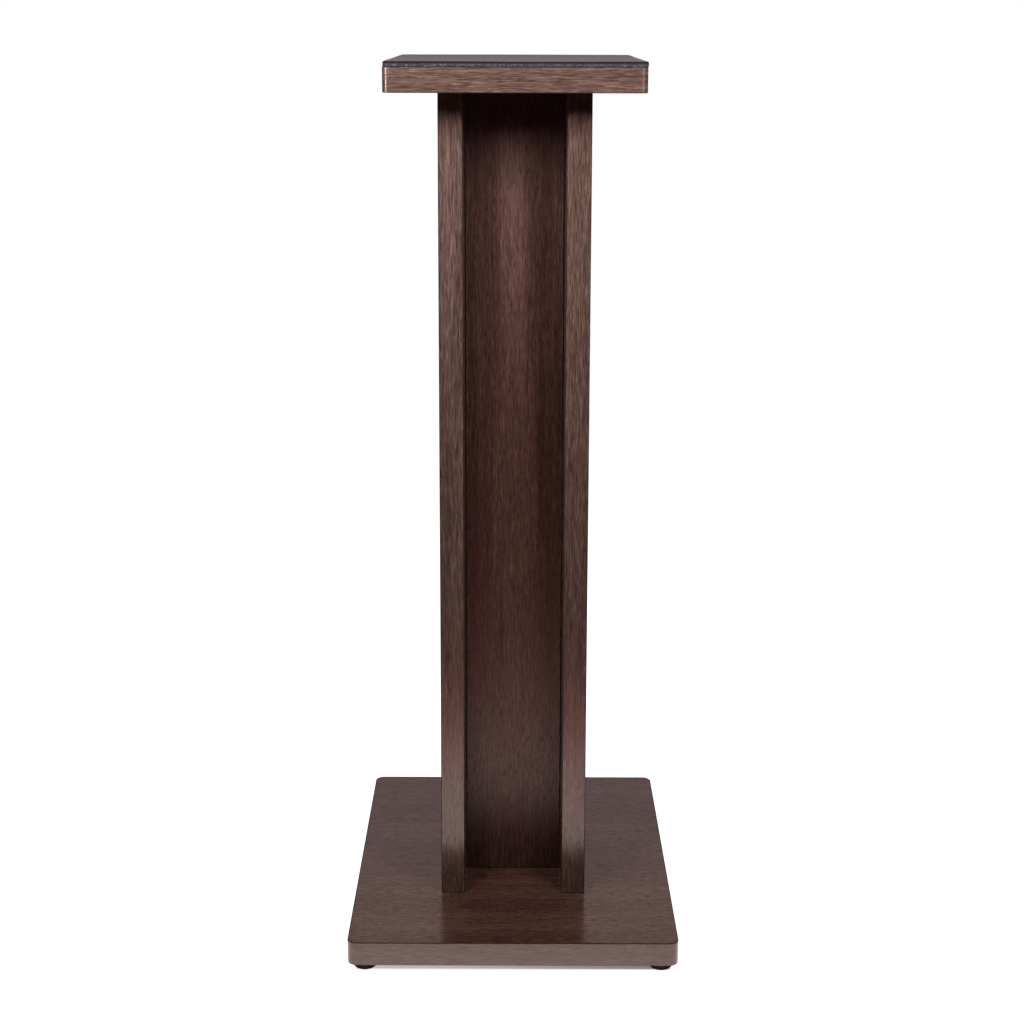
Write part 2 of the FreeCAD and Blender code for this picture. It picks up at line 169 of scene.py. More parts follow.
def skin_rings(mesh, rings):
    """Faces between rings of equally many points, from the lowest up, and over both ends."""
    count = len(rings[0])
    for below, above in zip(rings, rings[1:]):
        for number in range(count):
            after = (number + 1) % count
            mesh.faces.new((below[number], below[after], above[after], above[number]))
    mesh.faces.new(rings[-1])
    mesh.faces.new(reversed(rings[0]))


def add_piece(name, mesh, smooth_angle=SHARP_ANGLE):
    """A piece of the scene from a finished bmesh."""
    for face in mesh.faces:
        face.smooth = True
    for edge in mesh.edges:
        if len(edge.link_faces) == 2:
            edge.smooth = edge.calc_face_angle() < math.radians(smooth_angle)
    data = bpy.data.meshes.new(name)
    mesh.to_mesh(data)
    mesh.free()
    piece = bpy.data.objects.new(name, data)
    bpy.context.scene.collection.objects.link(piece)
    return piece


# ---------------------------------------------------------------- walnut decor

# the printed grain: length and width of its marks, and how much each layer shifts the tone
GRAIN_LAYERS = (
    (900 * MM, 42 * MM, 0.38),
    (320 * MM, 9 * MM, 0.25),
    (70 * MM, 2.6 * MM, 0.35),
    (22 * MM, 1.1 * MM, 0.80),
    (10 * MM, 0.8 * MM, 0.75),
)
# the pores: their size, where in the noise they begin and are full, how much darker and duller
PORE_LENGTH, PORE_WIDTH = 10 * MM, 0.9 * MM
PORE_START, PORE_FULL = 0.56, 0.63
PORE_TONE, PORE_DULLNESS = -0.26, 0.12
# the slow waves that bend the grain sideways by up to half of DRIFT
DRIFT_LENGTH, DRIFT_WIDTH, DRIFT = 420 * MM, 60 * MM, 9 * MM
# a patch's edge in half widths from its middle, and how far the drift makes it ragged
PATCH_FULL, PATCH_END, PATCH_RAGGED = 0.1, 1.1, 1.6
MIDDLE_TONE = 0.5
WALNUT_TONES = (
    (0.00, (0.040, 0.019, 0.015)),
    (0.32, (0.098, 0.050, 0.039)),
    (0.52, (0.165, 0.090, 0.071)),
    (0.72, (0.245, 0.150, 0.122)),
    (1.00, (0.400, 0.280, 0.235)),
)
# a relief is the height that a bump stands for and its strength
WALNUT_RELIEF = (0.05 * MM, 0.5)
SATIN = 0.19
LAMINATE_IOR = 1.6
# the strips' own colour, which shows where they are trimmed; the same dark colour is painted along
# the foot of each upright board as painted contact shade
BAND_CORE_AND_CONTACT_SHADE = (0.012, 0.008, 0.007)
CORE_ROUGHNESS = 0.95
# where the trimmed faces begin and are full: by a rim's slope and by how far a strip's face turns
# away from both level axes; and the heights above the base plate up to which the painted contact
# shade at the foot of the upright boards is full and where it ends
RIM_SLOPE = (0.3, 0.5)
STRIP_SLANT = (0.2, 0.4)
CONTACT_SHADE_FULL, CONTACT_SHADE_END = 0.7 * MM, 1.3 * MM
MERGE_DISTANCE = 0.01 * MM


def marks(graph, grain, length, width, detail=2.0):
    """Noise in long thin marks that lie along the first axis of the grain's coordinates."""
    scaled = graph.vector("MULTIPLY", grain, (1 / length, 1 / width, 1 / width))
    return graph.noise(scaled, detail)


def grain_along_x(graph):
    return graph.place()


def grain_along_z(graph):
    x, y, z = graph.split(graph.place())
    return graph.join(z, x, y)


def grain_round_rim(node, corner):
    """Coordinates that run round a plate's rim from the middle of its front, both ways."""
    low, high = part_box(node)
    straight_x = (high.x - low.x) / 2 - corner
    straight_y = (high.y - low.y) / 2 - corner
    quarter = corner * math.pi / 2

    def coordinates(graph):
        x, y, z = graph.split(graph.place())
        across = graph.math("ABSOLUTE", x)
        inner_x = graph.math("MINIMUM", across, straight_x)
        beyond_x = graph.math("MAXIMUM", graph.math("SUBTRACT", across, straight_x), 0.0)
        ahead = graph.math("MAXIMUM", graph.math("SUBTRACT", -straight_y, y), 0.0)
        behind = graph.math("MAXIMUM", graph.math("SUBTRACT", y, straight_y), 0.0)
        front_turn = graph.math("MULTIPLY", graph.math("ARCTAN2", beyond_x, ahead), corner)
        rear_turn = graph.math("MULTIPLY", graph.math("ARCTAN2", behind, beyond_x), corner)
        side = graph.math("MAXIMUM", graph.math("ADD", y, straight_y), 0.0)
        side = graph.math("MINIMUM", side, 2 * straight_y)
        front_way = graph.total(inner_x, front_turn, side)
        rear_inner = graph.math("SUBTRACT", straight_x, inner_x)
        rear_way = graph.total(straight_x + quarter, side, rear_turn, rear_inner)
        is_rear = graph.math("GREATER_THAN", y, 0.0)
        is_front = graph.math("SUBTRACT", 1.0, is_rear)
        way = graph.total(graph.math("MULTIPLY", is_front, front_way),
                          graph.math("MULTIPLY", is_rear, rear_way))
        return graph.join(graph.math("MULTIPLY", way, graph.math("SIGN", x)), z, 0.0)

    return coordinates


def make_walnut(name, coordinates, start, lightness=0.0, core_and_shade_mask=None, patches=(),
                tint=(1.0, 1.0, 1.0), satin=SATIN, index=LAMINATE_IOR):
    """Printed walnut laminate under a satin lacquer, with its pores pressed in.

    start shifts the print, so that no two boards show the same stretch of it. core_and_shade_mask
    gives where a strip's own plain colour shows, and where that colour is painted as contact shade
    along a board's foot. patches are (x, z, width, length, tone) of darker or lighter places: marks
    in the figure, and on the panel also painted light and painted shade. tint multiplies the
    colours;
    on the plates and the panel it also darkens them as painted shade. satin is the lacquer's
    roughness and index its index of refraction.
    """
    material, graph = new_material(name)
    grain = graph.vector("ADD", coordinates(graph), start)
    drift = graph.math("SUBTRACT", marks(graph, grain, DRIFT_LENGTH, DRIFT_WIDTH), 0.5)
    grain = graph.vector("ADD", grain, graph.join(0.0, graph.math("MULTIPLY", drift, DRIFT), 0.0))
    tone = MIDDLE_TONE + lightness
    for length, width, weight in GRAIN_LAYERS:
        shift = graph.math("SUBTRACT", marks(graph, grain, length, width), 0.5)
        tone = graph.math("MULTIPLY_ADD", shift, weight, tone)
    for x, z, width, length, shift in patches:
        place = graph.vector("SUBTRACT", grain_along_z(graph), (z, x, 0.0))
        place = graph.vector("MULTIPLY", place, (2 / length, 2 / width, 0.0))
        distance = graph.node("ShaderNodeVectorMath", {0: place}, operation="LENGTH").outputs[1]
        ragged = graph.math("MULTIPLY_ADD", drift, PATCH_RAGGED, distance)
        tone = graph.math("ADD", tone, graph.ease(ragged, PATCH_FULL, PATCH_END, shift, 0.0))
    pores = graph.ease(marks(graph, grain, PORE_LENGTH, PORE_WIDTH, 1.0), PORE_START, PORE_FULL)
    tone = graph.math("MULTIPLY_ADD", pores, PORE_TONE, tone, clamp=True)
    tones = [(place, tuple(c * t for c, t in zip(colour, tint)))
             for place, colour in WALNUT_TONES]
    colour = graph.ramp(tone, tones)
    height = graph.math("MULTIPLY_ADD", pores, -1.0, tone)
    roughness = graph.math("MULTIPLY_ADD", pores, PORE_DULLNESS, satin)
    # the plain core colour: on trimmed edges it is the strip's own, at a board's foot it is painted
    # contact shade
    if core_and_shade_mask:
        core_and_shade = core_and_shade_mask(graph)
        colour = graph.mix(core_and_shade, colour, BAND_CORE_AND_CONTACT_SHADE)
        roughness = graph.math("MULTIPLY_ADD", core_and_shade, CORE_ROUGHNESS - satin, roughness)
    graph.finish(Base_Color=colour, Roughness=roughness, IOR=index,
                 Normal=graph.bump(height, *WALNUT_RELIEF))
    return material


def rim_core_mask(graph):
    """1 on a rim's slanting trimmed edges and its narrow flat edges, which show no print."""
    slope = graph.math("ABSOLUTE", graph.split(graph.face_normal())[2])
    return graph.ease(slope, *RIM_SLOPE)


def contact_shade_mask(graph):
    """1 on the lowest millimetre of an upright board: painted contact shade where it stands on the
    base plate.
    """
    z = graph.split(graph.place())[2]
    low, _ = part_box("centre_panel")
    return graph.ease(z, low.z + CONTACT_SHADE_FULL, low.z + CONTACT_SHADE_END, 1.0, 0.0)


def strip_core_and_shade_mask(graph):
    """1 on a strip's slanting trimmed edges, which face between two of the level axes, and on its
    lowest millimetre, painted as contact shade.
    """
    x, y, _ = graph.split(graph.face_normal())
    slant = graph.math("ABSOLUTE", graph.math("MULTIPLY", x, y))
    return graph.math("MAXIMUM", graph.ease(slant, *STRIP_SLANT), contact_shade_mask(graph))


def soft_arris_nodes():
    """Joins a node's faces and shades a trimmed edge as if it were rounded."""
    tree = bpy.data.node_groups.new("soft_arris", "GeometryNodeTree")
    for direction in ("INPUT", "OUTPUT"):
        tree.interface.new_socket("Geometry", in_out=direction,
                                  socket_type="NodeSocketGeometry")
    graph = Graph(tree)
    given = graph.node("NodeGroupInput").outputs[0]
    joined = graph.node("GeometryNodeMergeByDistance",
                        {"Geometry": given, "Distance": MERGE_DISTANCE})
    angle = graph.node("GeometryNodeInputMeshEdgeAngle").outputs[0]
    is_sharp = graph.math("GREATER_THAN", angle, math.radians(SHARP_ANGLE))
    shaded = graph.node("GeometryNodeSetMeshNormal", mode="SHARPNESS")
    shaded.inputs["Remove Custom"].default_value = True
    tree.links.new(joined.outputs[0], shaded.inputs["Mesh"])
    tree.links.new(is_sharp, shaded.inputs["Edge Sharpness"])
    graph.node("NodeGroupOutput", {0: shaded.outputs[0]})
    return tree


def soften_arrises(names):
    tree = soft_arris_nodes()
    for name in names:
        modifier = NODES[name].modifiers.new("soft_arris", "NODES")
        modifier.node_group = tree
        weighted = NODES[name].modifiers.new("flat_faces_stay_flat", "WEIGHTED_NORMAL")
        weighted.keep_sharp = True


BASE_CORNER, TOP_CORNER = 10 * MM, 8 * MM
# both plates lie level under the lamps, so their decor is darkened as painted shade, and it is a
# little warmer than the boards'
PLATE_TINT_AND_SHADE = (1.06, 0.88, 0.80)
# the panel's decor is darker and redder and its lacquer duller than the uprights'; part of the
# darkness is painted shade of its recess between the uprights
PANEL_LOOK_AND_SHADE = {"tint": (0.72, 0.58, 0.57), "satin": 0.33, "index": 1.45}
# the panel's patches: the four narrow dark ones are marks in the figure, the broad lighter one high
# in the middle is a painted pool of light, and the two long dark ones along the sides are painted
# shade from the uprights
PANEL_MARKS_AND_PAINTED_LIGHT = (
    (-13 * MM, 300 * MM, 8 * MM, 150 * MM, -0.34),
    (36 * MM, 780 * MM, 8 * MM, 16 * MM, -0.20),
    (12 * MM, 346 * MM, 7 * MM, 14 * MM, -0.18),
    (2 * MM, 720 * MM, 46 * MM, 380 * MM, 0.20),
    (-50 * MM, 400 * MM, 44 * MM, 1700 * MM, -0.20),
    (50 * MM, 400 * MM, 38 * MM, 1700 * MM, -0.18),
    (28 * MM, 520 * MM, 10 * MM, 300 * MM, -0.20),
)
# each plate's edge band, corner radius, start in the print, and lightness
PLATES = {
    "base_plate": ("base_edge_band", BASE_CORNER, (0.0, 0.37, 0.11), -0.02),
    "top_plate": ("top_edge_band", TOP_CORNER, (1.7, 0.81, 0.53), 0.08),
}
# each upright board's edge bands, start in the print, patches of figure and of painted light and
# shade, and what else sets it apart
BOARDS = {
    "left_upright": (("front_band", "rear_band"), (2.3, 0.21, 0.67), (), {"lightness": 0.04}),
    "right_upright": (("front_band", "rear_band"), (4.1, 0.93, 0.29), (), {}),
    "centre_panel": (("left_band", "right_band"), (5.9, 0.47, 0.83), PANEL_MARKS_AND_PAINTED_LIGHT, PANEL_LOOK_AND_SHADE),
}


def dress_boards():
    for plate, (band, corner, start, lightness) in PLATES.items():
        # the plates' tint also darkens them as painted shade
        dress(NODES[plate], make_walnut(f"walnut_{plate}", grain_along_x, start, lightness,
                                        tint=PLATE_TINT_AND_SHADE))
        rim = grain_round_rim(band, corner)
        dress(NODES[band], make_walnut(f"walnut_{band}", rim, start, lightness,
                                       core_and_shade_mask=rim_core_mask))
    for board, (bands, start, patches, look) in BOARDS.items():
        # the boards and their strips carry painted contact shade along their feet
        board_walnut = make_walnut(f"walnut_{board}", grain_along_z, start, patches=patches,
                                   core_and_shade_mask=contact_shade_mask, **look)
        strip_walnut = make_walnut(f"walnut_{board}_bands", grain_along_z, start,
                                   core_and_shade_mask=strip_core_and_shade_mask, **look)
        dress(NODES[board], board_walnut)
        for band in bands:
            dress(NODES[f"{board}_{band}"], strip_walnut)
    soften_arrises([name for name in NODES if name.endswith("_band")])


# ---------------------------------------------------------------- foam pad

PAD_CORNER, PAD_CORNER_STEPS = 8 * MM, 8
PAD_ARRIS, PAD_ARRIS_STEPS = 1.6 * MM, 4
# the lower arris turns in by this much over this height
PAD_TUCK, PAD_TUCK_HEIGHT = 0.15 * MM, 0.3 * MM
PAD_STEP = 9 * MM
# the rings of points on the top, as shares of the way in to the middle
PAD_TOP_RINGS = (0.03, 0.08, 0.16, 0.26, 0.4, 0.56, 0.74, 0.9)
# the top's slight waves: their height, how many to the metre, and which slice of the noise
PAD_WAVE, PAD_WAVES_PER_METRE, PAD_WAVE_SLICE = 0.25 * MM, 9, 0.4
# the sheet is stuck on a little to the right
PAD_SHIFT = 0.5 * MM


def rounded_outline(half_x, half_y, corner, step):
    """Points round a rectangle with rounded corners, about one step apart."""
    points = []
    centres = ((1, 1), (-1, 1), (-1, -1), (1, -1))
    for number, (i, j) in enumerate(centres):
        middle = Vector((i * (half_x - corner), j * (half_y - corner)))
        for turn in range(PAD_CORNER_STEPS + 1):
            angle = (number + turn / PAD_CORNER_STEPS) * math.pi / 2
            points.append(middle + corner * Vector((math.cos(angle), math.sin(angle))))
        i_next, j_next = centres[(number + 1) % len(centres)]
        following = Vector((i_next * (half_x - corner), j_next * (half_y - corner)))
        turn = (number + 1) * math.pi / 2
        goal = following + corner * Vector((math.cos(turn), math.sin(turn)))
        start = points[-1]
        pieces = round((goal - start).length / step)
        points += [start.lerp(goal, piece / pieces) for piece in range(1, pieces)]
    return points


def make_pad():
    """The foam sheet: cut sides, soft arrises and a top that isn't quite level."""
    low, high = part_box("anti_slip_pad")
    centre = (low + high) / 2 + Vector((PAD_SHIFT, 0.0, 0.0))
    half_x, half_y = (high.x - low.x) / 2, (high.y - low.y) / 2
    thick = high.z - low.z
    outline = rounded_outline(half_x, half_y, PAD_CORNER, PAD_STEP)
    # how far each ring of points lies inside the outline, and its height
    profile = [(PAD_TUCK, 0.0), (0.0, PAD_TUCK_HEIGHT), (0.0, thick / 2)]
    for turn in range(PAD_ARRIS_STEPS + 1):
        angle = turn / PAD_ARRIS_STEPS * math.pi / 2
        inset = PAD_ARRIS * (1 - math.cos(angle))
        profile.append((inset, thick - PAD_ARRIS * (1 - math.sin(angle))))
    reach = min(half_x, half_y)
    profile += [(reach * share, thick) for share in PAD_TOP_RINGS]
    mesh = bmesh.new()
    rings = []
    for inset, height in profile:
        shrink = Vector((1 - inset / half_x, 1 - inset / half_y))
        ring = []
        for point in outline:
            x, y = point.x * shrink.x, point.y * shrink.y
            sample = Vector((x * PAD_WAVES_PER_METRE, y * PAD_WAVES_PER_METRE, PAD_WAVE_SLICE))
            wave = noise.noise(sample) * PAD_WAVE * (height / thick)
            ring.append(mesh.verts.new((centre.x + x, centre.y + y, low.z + height + wave)))
        rings.append(ring)
    skin_rings(mesh, rings)
    pad = add_piece("foam_pad", mesh)
    dress(pad, make_foam())
    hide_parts("anti_slip_pad")
    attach(pad, "stand")


FOAM_CELL = 1.1 * MM
FOAM_MOTTLES_PER_METRE, FOAM_MOTTLE = 160, 0.6
FOAM_TONES = (
    (0.00, (0.044, 0.038, 0.044)),
    (0.60, (0.088, 0.078, 0.088)),
    (0.85, (0.130, 0.118, 0.133)),
    (1.00, (0.240, 0.225, 0.245)),
)
# the top's tint paints it lighter and warmer as a painted sheen; the cut sides' tint is darker and
# a little bluer
FOAM_TOP_PAINTED_SHEEN, FOAM_SIDE_TINT = (1.25, 1.12, 1.10), (0.80, 0.80, 0.84)
FOAM_TOP_SLOPE = (0.93, 0.99)
# the upper arris is painted near black as painted shade: its colour, and the depths under the top
# between which it sets in
FOAM_ARRIS_SHADE = (0.008, 0.007, 0.008)
ARRIS_SHADE_START, ARRIS_SHADE_FULL = 3.4 * MM, 1.4 * MM
FOAM_ROUGHNESS, FOAM_IOR = 0.75, 1.3
FOAM_SHEEN, FOAM_SHEEN_TINT = 0.1, (1.0, 0.85, 0.85, 1.0)
FOAM_RELIEF = (0.15 * MM, 0.4)


def make_foam():
    """Closed-cell foam: a fine skin of cells, each catching the light a little differently."""
    material, graph = new_material("foam")
    place = graph.place()
    cells = graph.node("ShaderNodeTexVoronoi", {"Vector": place, "Scale": 1 / FOAM_CELL})
    glint = graph.split(cells.outputs["Color"])[0]
    mottle = graph.noise(graph.vector("MULTIPLY", place, (FOAM_MOTTLES_PER_METRE,) * 3))
    speckle = graph.math("MULTIPLY_ADD", graph.math("SUBTRACT", mottle, 0.5), FOAM_MOTTLE, glint)
    colour = graph.ramp(speckle, FOAM_TONES)
    slope = graph.split(graph.face_normal())[2]
    off_top = graph.ease(slope, *FOAM_TOP_SLOPE, 1.0, 0.0)
    height = graph.split(place)[2]
    _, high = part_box("anti_slip_pad")
    # pressed marks the upper arris, which is painted near black as painted shade
    pressed = graph.ease(height, high.z - ARRIS_SHADE_START, high.z - ARRIS_SHADE_FULL)
    cut_side = graph.mix(1.0, colour, FOAM_SIDE_TINT, "MULTIPLY")
    # the top gets the painted sheen
    colour = graph.mix(1.0, colour, FOAM_TOP_PAINTED_SHEEN, "MULTIPLY")
    colour = graph.mix(off_top, colour, graph.mix(pressed, cut_side, FOAM_ARRIS_SHADE))
    graph.finish(Base_Color=colour, Roughness=FOAM_ROUGHNESS, IOR=FOAM_IOR,
                 Sheen_Weight=FOAM_SHEEN, Sheen_Tint=FOAM_SHEEN_TINT,
                 Normal=graph.bump(cells.outputs["Distance"], *FOAM_RELIEF))
    return material


# ---------------------------------------------------------------- hardware

STUD_RADIUS = 3 * MM
STUD_HEAD, STUD_RIM = 2 * MM, 0.3 * MM
STUD_SIDES = 32
STUD_SHARP_ANGLE = 60
THREAD_PITCH = 1 * MM
THREAD_DEPTH = 0.6 * MM
RINGS_PER_PITCH = 6
# colour and roughness
ZINC = ((0.60, 0.60, 0.61), 0.32)
BRASS = ((0.62, 0.46, 0.22), 0.30)
# the turning marks to the metre along x, y and z, their darkest tone, and the spread of roughness
TURNING_MARKS, TURNING_TONE, TURNING_SPREAD = (300, 300, 9000), 0.82, 0.2
METAL_RELIEF = (0.02 * MM, 0.4)
BEECH_TONES = (
    (0.30, (0.34, 0.19, 0.09)),
    (0.55, (0.55, 0.36, 0.20)),
    (0.80, (0.66, 0.47, 0.28)),
)
FLECK_LENGTH, FLECK_WIDTH = 9 * MM, 0.5 * MM
BEECH_ROUGHNESS = 0.7
BEECH_RELIEF = (0.05 * MM, 0.5)
RUBBER_TONES = (
    (0.3, (0.018, 0.013, 0.010)),
    (0.7, (0.038, 0.027, 0.020)),
)
GRIT_PER_METRE, GRIT_DETAIL = 1800, 3.0
RUBBER_ROUGHNESS, RUBBER_SPREAD, RUBBER_IOR = 0.42, 0.25, 1.3
RUBBER_RELIEF = (0.04 * MM, 0.5)


def make_stud(foot):
    """A foot's stud with its M6 thread: a flat head with soft rims, then the threaded shank."""
    node = f"{foot}_stud"
    low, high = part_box(node)
    centre = (low + high) / 2
    head_radius = (high.x - low.x) / 2
    head_top = low.z + STUD_HEAD
    head = [(head_radius - STUD_RIM, low.z), (head_radius, low.z + STUD_RIM),
            (head_radius, head_top - STUD_RIM), (head_radius - STUD_RIM, head_top)]
    shank = high.z - head_top
    steps = round(shank / THREAD_PITCH * RINGS_PER_PITCH)
    mesh = bmesh.new()
    rings = []

    def add_ring(height, radius_at):
        ring = []
        for side in range(STUD_SIDES):
            turn = side / STUD_SIDES
            angle = turn * 2 * math.pi
            radius = radius_at(turn)
            ring.append(mesh.verts.new((centre.x + radius * math.cos(angle),
                                        centre.y + radius * math.sin(angle), height)))
        rings.append(ring)

    for radius, height in head:
        add_ring(height, lambda turn, r=radius: r)
    for step in range(steps + 1):
        rise = shank * step / steps
        run_out = min(1.0, rise / THREAD_PITCH)
        tip = min(1.0, (shank - rise) / THREAD_PITCH)

        def thread_radius(turn, rise=rise, run_out=run_out, tip=tip):
            phase = (rise / THREAD_PITCH - turn) % 1
            groove = 1 - abs(2 * phase - 1)
            radius = STUD_RADIUS - THREAD_DEPTH * groove * run_out
            return min(radius, STUD_RADIUS - THREAD_DEPTH * (1 - tip))

        add_ring(head_top + rise, thread_radius)
    skin_rings(mesh, rings)
    stud = add_piece(f"{foot}_threaded_stud", mesh, smooth_angle=STUD_SHARP_ANGLE)
    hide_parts(node)
    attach(stud, foot)
    return stud


def make_metal(name, colour, roughness):
    material, graph = new_material(name)
    turning = graph.noise(graph.vector("MULTIPLY", graph.place(), TURNING_MARKS))
    tint = graph.mix(turning, tuple(c * TURNING_TONE for c in colour), colour)
    worn = graph.math("MULTIPLY_ADD", turning, TURNING_SPREAD, roughness - TURNING_SPREAD / 2)
    graph.finish(Base_Color=tint, Metallic=1.0, Roughness=worn,
                 Normal=graph.bump(turning, *METAL_RELIEF))
    return material


def make_beech():
    material, graph = new_material("beech")
    fleck = marks(graph, grain_along_z(graph), FLECK_LENGTH, FLECK_WIDTH)
    graph.finish(Base_Color=graph.ramp(fleck, BEECH_TONES), Roughness=BEECH_ROUGHNESS,
                 Normal=graph.bump(fleck, *BEECH_RELIEF))
    return material


def make_rubber():
    material, graph = new_material("rubber")
    fine = graph.vector("MULTIPLY", graph.place(), (GRIT_PER_METRE,) * 3)
    grit = graph.noise(fine, GRIT_DETAIL)
    roughness = graph.math("MULTIPLY_ADD", grit, RUBBER_SPREAD, RUBBER_ROUGHNESS)
    graph.finish(Base_Color=graph.ramp(grit, RUBBER_TONES), Roughness=roughness, IOR=RUBBER_IOR,
                 Normal=graph.bump(grit, *RUBBER_RELIEF))
    return material


def dress_hardware():
    zinc = make_metal("zinc_plate", *ZINC)
    materials = {
        "_screws": zinc,
        "_inserts": make_metal("turned_brass", *BRASS),
        "_dowels": make_beech(),
        "_foot": make_rubber(),
    }
    for name, node in NODES.items():
        for ending, material in materials.items():
            if name.endswith(ending):
                dress(node, material)
    for foot in FEET:
        dress(make_stud(foot), zinc)


# ---------------------------------------------------------------- studio

FLOOR_RADIUS, FLOOR_SIDES = 12.0, 96
FLOOR_WHITE = 0.9
# the shadow under the base: its tone from left to right, and how far inside the outline it ends
SHADOW_LEFT, SHADOW_RIGHT = 0.48, 0.19
SHADOW_END, SHADOW_SOFTNESS = -8.5 * MM, 2 * MM
# what the satin faces mirror of the floor, from far in front of the stand up to its base
MIRRORED_FLOOR = (
    (-0.95, (0.03, 0.02, 0.02)),
    (-0.80, (0.40, 0.12, 0.09)),
    (-0.66, (1.60, 0.62, 0.48)),
    (-0.50, (2.20, 1.68, 1.56)),
    (-0.10, (2.20, 1.76, 1.68)),
    (0.20, (0.03, 0.02, 0.02)),
)
# what they mirror of it under the base and far out to both sides, and where the sides begin
# and are full
MIRRORED_UNDER = (0.10, 0.09, 0.09)
MIRRORED_SIDES = (0.7, 1.2)
# the near floor throws light back up at the base's front edge: from which depth on, how far to
# both sides, how softly it begins and how strong it is
BOUNCE_FRONT, BOUNCE_SIDE, BOUNCE_FADE, BOUNCE_LIGHT = -0.42, 0.26, 0.06, 0.54
# and the floor under the base throws a little up at the feet
UNDER_LIGHT = 0.15
# the share of the lamps' light that the floor passes on to the stand, and the world's own light
FLOOR_FILL, WORLD_FILL = 0.03, 0.003
# what the satin faces mirror of the studio behind the stand, by height as a share of straight up
MIRRORED_STUDIO = (
    (0.00, (0.02, 0.02, 0.02)),
    (0.01, (0.34, 0.22, 0.22)),
    (0.20, (0.30, 0.26, 0.27)),
    (0.38, (0.18, 0.25, 0.32)),
    (0.41, (0.26, 0.31, 0.36)),
    (0.44, (0.92, 0.64, 0.57)),
    (0.70, (0.10, 0.06, 0.05)),
    (1.00, (0.02, 0.02, 0.02)),
)
# how far round towards the back a direction points where that studio begins and is full
STUDIO_BEHIND = (-0.1, 0.3)
BLACK, WHITE = (0.0, 0.0, 0.0), (1.0, 1.0, 1.0)


def seen_rays(graph):
    """1 for rays from the camera or through glass, and 1 for rays of a mirror image."""
    path = graph.node("ShaderNodeLightPath").outputs
    seen = graph.math("ADD", path["Is Camera Ray"], path["Is Transmission Ray"], clamp=True)
    return seen, path["Is Glossy Ray"]


def floor_shown(graph, x, beyond, low, high):
    """The floor itself: white, with the shadow under the base."""
    shadow = graph.ease(x, low.x, high.x, SHADOW_LEFT, SHADOW_RIGHT)
    glow = graph.ease(beyond, SHADOW_END - SHADOW_SOFTNESS, SHADOW_END + SHADOW_SOFTNESS,
                      shadow, 1.0)
    return graph.add_shaders(graph.diffuse(FLOOR_WHITE), graph.emission(Strength=glow))


def floor_mirrored(graph, aside, y, is_under):
    """The floor's image in the satin faces."""
    farthest, nearest = MIRRORED_FLOOR[0][0], MIRRORED_FLOOR[-1][0]
    way = graph.math("DIVIDE", graph.math("SUBTRACT", y, farthest), nearest - farthest, clamp=True)
    mirrored = graph.ramp(way, [((place - farthest) / (nearest - farthest), colour)
                                for place, colour in MIRRORED_FLOOR])
    mirrored = graph.mix(is_under, mirrored, MIRRORED_UNDER)
    far_aside = graph.ease(aside, *MIRRORED_SIDES)
    return graph.emission(Color=graph.mix(far_aside, mirrored, MIRRORED_UNDER))


def floor_lighting(graph, aside, y, is_under, front):
    """The light that the floor throws back at the stand."""
    bounce = graph.ease(y, BOUNCE_FRONT - BOUNCE_FADE, BOUNCE_FRONT + BOUNCE_FADE,
                        0.0, BOUNCE_LIGHT)
    in_front = graph.math("LESS_THAN", y, front)
    is_near = graph.math("LESS_THAN", aside, BOUNCE_SIDE)
    bounce = graph.math("MULTIPLY", bounce, graph.math("MULTIPLY", in_front, is_near))
    bounce = graph.math("MULTIPLY_ADD", is_under, UNDER_LIGHT, bounce)
    return graph.add_shaders(graph.diffuse(FLOOR_FILL), graph.emission(Strength=bounce))


def make_floor():
    """The white floor, which can be looked through from below."""
    mesh = bmesh.new()
    bmesh.ops.create_circle(mesh, cap_ends=True, segments=FLOOR_SIDES, radius=FLOOR_RADIUS)
    floor = add_piece("floor", mesh)
    material, graph = new_material("white_floor")
    x, y, _ = graph.split(graph.place())
    aside = graph.math("ABSOLUTE", x)
    low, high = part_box("base_edge_band")
    beyond_x = graph.math("SUBTRACT", aside, high.x)
    beyond_y = graph.math("SUBTRACT", graph.math("ABSOLUTE", y), high.y)
    beyond = graph.math("MAXIMUM", beyond_x, beyond_y)
    is_under = graph.math("LESS_THAN", beyond, 0.0)
    seen, glossy = seen_rays(graph)
    surface = graph.mix_shaders(glossy, floor_lighting(graph, aside, y, is_under, low.y),
                                floor_mirrored(graph, aside, y, is_under))
    surface = graph.mix_shaders(seen, surface, floor_shown(graph, x, beyond, low, high))
    clear = graph.node("ShaderNodeBsdfTransparent").outputs[0]
    below = graph.node("ShaderNodeNewGeometry").outputs["Backfacing"]
    surface = graph.mix_shaders(below, surface, clear)
    graph.node("ShaderNodeOutputMaterial", {"Surface": surface})
    dress(floor, material)


def make_world():
    world = bpy.data.worlds.new("studio")
    world.use_nodes = True
    bpy.context.scene.world = world
    graph = Graph(world.node_tree)
    _, ahead, up = graph.split(graph.node("ShaderNodeTexCoord").outputs["Generated"])
    seen, glossy = seen_rays(graph)
    studio = graph.ramp(up, MIRRORED_STUDIO)
    mirrored = graph.mix(graph.ease(ahead, *STUDIO_BEHIND), BLACK, studio)
    colour = graph.mix(glossy, (WORLD_FILL,) * 3, mirrored)
    colour = graph.mix(seen, colour, WHITE)
    background = graph.node("ShaderNodeBackground", {"Color": colour})
    graph.node("ShaderNodeOutputWorld", {"Surface": background.outputs[0]})


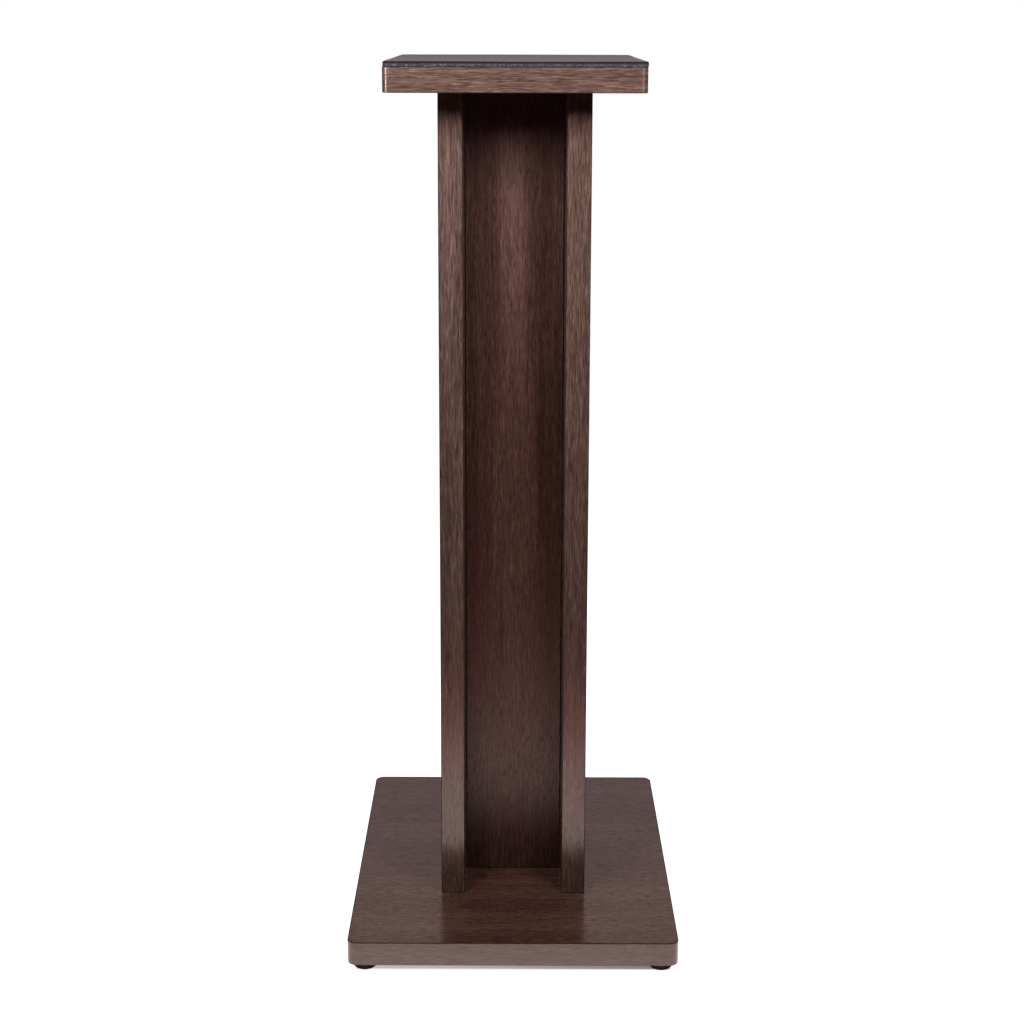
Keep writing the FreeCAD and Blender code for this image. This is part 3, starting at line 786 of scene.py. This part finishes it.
# name, azimuth from the front (left is negative), distance, height, tilt up, width, tall, radiance
LIGHTS = (
    ("left_softbox", -32, 0.95, 1.32, 7, 0.34, 0.46, 19.0),
    ("right_softbox", 32, 0.95, 1.32, 7, 0.34, 0.46, 18.2),
    ("left_back_softbox", -140, 1.50, 0.70, 0, 0.80, 0.80, 3.0),
    ("right_back_softbox", 140, 1.50, 0.70, 0, 0.80, 0.80, 3.0),
    ("left_strip_light", -59, 1.00, 0.87, 0, 0.20, 0.30, 19.0),
    ("right_strip_light", 50, 1.00, 0.87, 0, 0.14, 0.30, 6.0),
)
STRIP_COLOUR = (1.0, 0.84, 0.84)


def make_lights():
    """Lamps that stand upright round the stand, each facing its middle line.

    The strips are only the gleam on the top plate's rounded corners and light nothing. The back
    softboxes only light the rear and show in no mirror image.
    """
    for name, azimuth, distance, height, tilt, width, tall, radiance in LIGHTS:
        data = bpy.data.lights.new(name, "AREA")
        data.shape = "RECTANGLE"
        data.size = width
        data.size_y = tall
        data.energy = radiance * math.pi * width * tall
        lamp = bpy.data.objects.new(name, data)
        turn = math.radians(azimuth)
        lamp.location = (distance * math.sin(turn), -distance * math.cos(turn), height)
        lamp.rotation_euler = (math.radians(90 + tilt), 0.0, turn)
        if "strip" in name:
            data.color = STRIP_COLOUR
            lamp.visible_diffuse = False
        lamp.visible_glossy = "back" not in name
        bpy.context.scene.collection.objects.link(lamp)


# the photograph's camera, fitted to the stand's edges in it: lens and sensor in millimetres,
# angles in degrees, and the shift that the off-centre framing needs, as a share of the width
CAMERA_PLACE = (-0.88 * MM, -2034.03 * MM, 960.66 * MM)
CAMERA_LENS, CAMERA_SENSOR = 67.640, 36.0
CAMERA_SHIFT = -92 / 1024
CAMERA_DOWN, CAMERA_TURN, CAMERA_ROLL = 11.8662, 0.0414, 0.1333


def make_camera():
    data = bpy.data.cameras.new("photo_camera")
    data.lens = CAMERA_LENS
    data.sensor_width = CAMERA_SENSOR
    data.shift_y = CAMERA_SHIFT
    camera = bpy.data.objects.new("photo_camera", data)
    turn = Matrix.Rotation(math.radians(CAMERA_TURN), 4, "Z")
    tilt = Matrix.Rotation(math.radians(90 - CAMERA_DOWN), 4, "X")
    roll = Matrix.Rotation(math.radians(CAMERA_ROLL), 4, "Z")
    camera.matrix_world = Matrix.Translation(CAMERA_PLACE) @ turn @ tilt @ roll
    bpy.context.scene.collection.objects.link(camera)
    bpy.context.scene.camera = camera


# ---------------------------------------------------------------- put it together

dress_boards()
make_pad()
dress_hardware()
make_floor()
make_world()
make_lights()
make_camera()
bpy.context.scene.view_settings.view_transform = "Standard"
